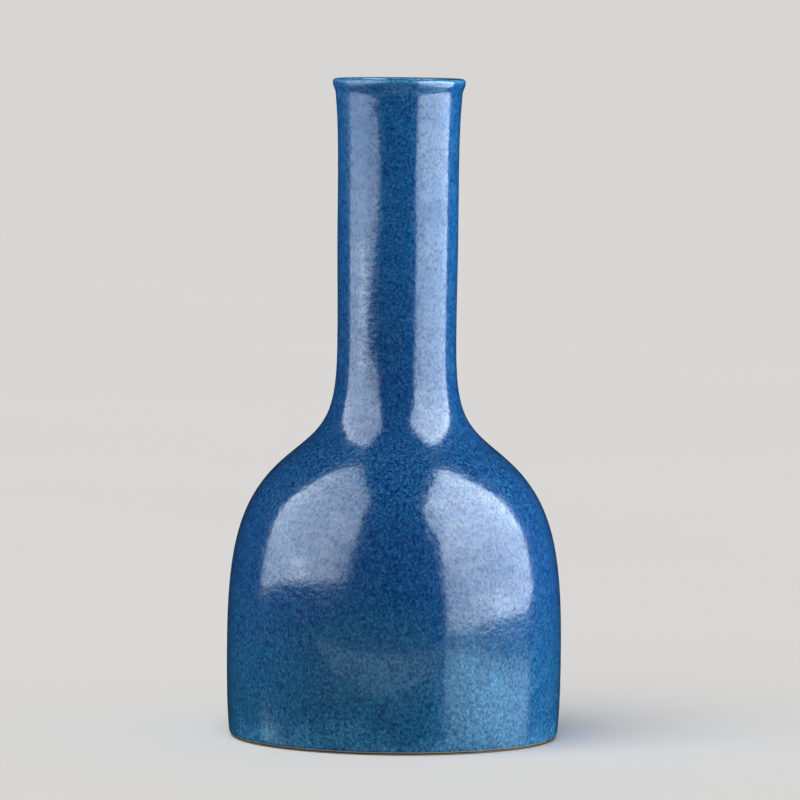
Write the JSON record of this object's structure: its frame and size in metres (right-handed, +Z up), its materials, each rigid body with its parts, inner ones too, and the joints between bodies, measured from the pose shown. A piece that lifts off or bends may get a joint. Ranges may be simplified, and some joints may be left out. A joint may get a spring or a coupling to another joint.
{
  "type": "bottle vase",
  "caption": "Bell-shaped ceramic bottle vase with a tall straight neck, a small turned-out lip and a speckled blue glaze, standing on a bare turned foot.",
  "frame": {"origin": "centre of the foot ring, on the surface that the vase stands on", "axes": "+Z up along the axis of the neck; the vase is round, so X and Y are any two directions across it"},
  "size_m": [0.117, 0.117, 0.23],
  "materials": {
    "porcelain_clay": "fired, unglazed, dry and smooth",
    "luting_slip": "fired slip, dry",
    "speckled_blue_glaze": "glossy, deep blue with fine dark specks and turquoise flecks",
    "plain_blue_glaze": "glossy turquoise blue"
  },
  "bodies": {
    "root": {"neck_section": "porcelain_clay", "shoulder_section": "porcelain_clay", "lower_wall_section": "porcelain_clay", "turned_base": "porcelain_clay", "neck_slip_joint": "luting_slip", "belly_slip_joint": "luting_slip", "base_slip_joint": "luting_slip", "outer_glaze": "speckled_blue_glaze", "inner_glaze": "plain_blue_glaze", "base_glaze": "plain_blue_glaze"}
  },
  "joints": []
}
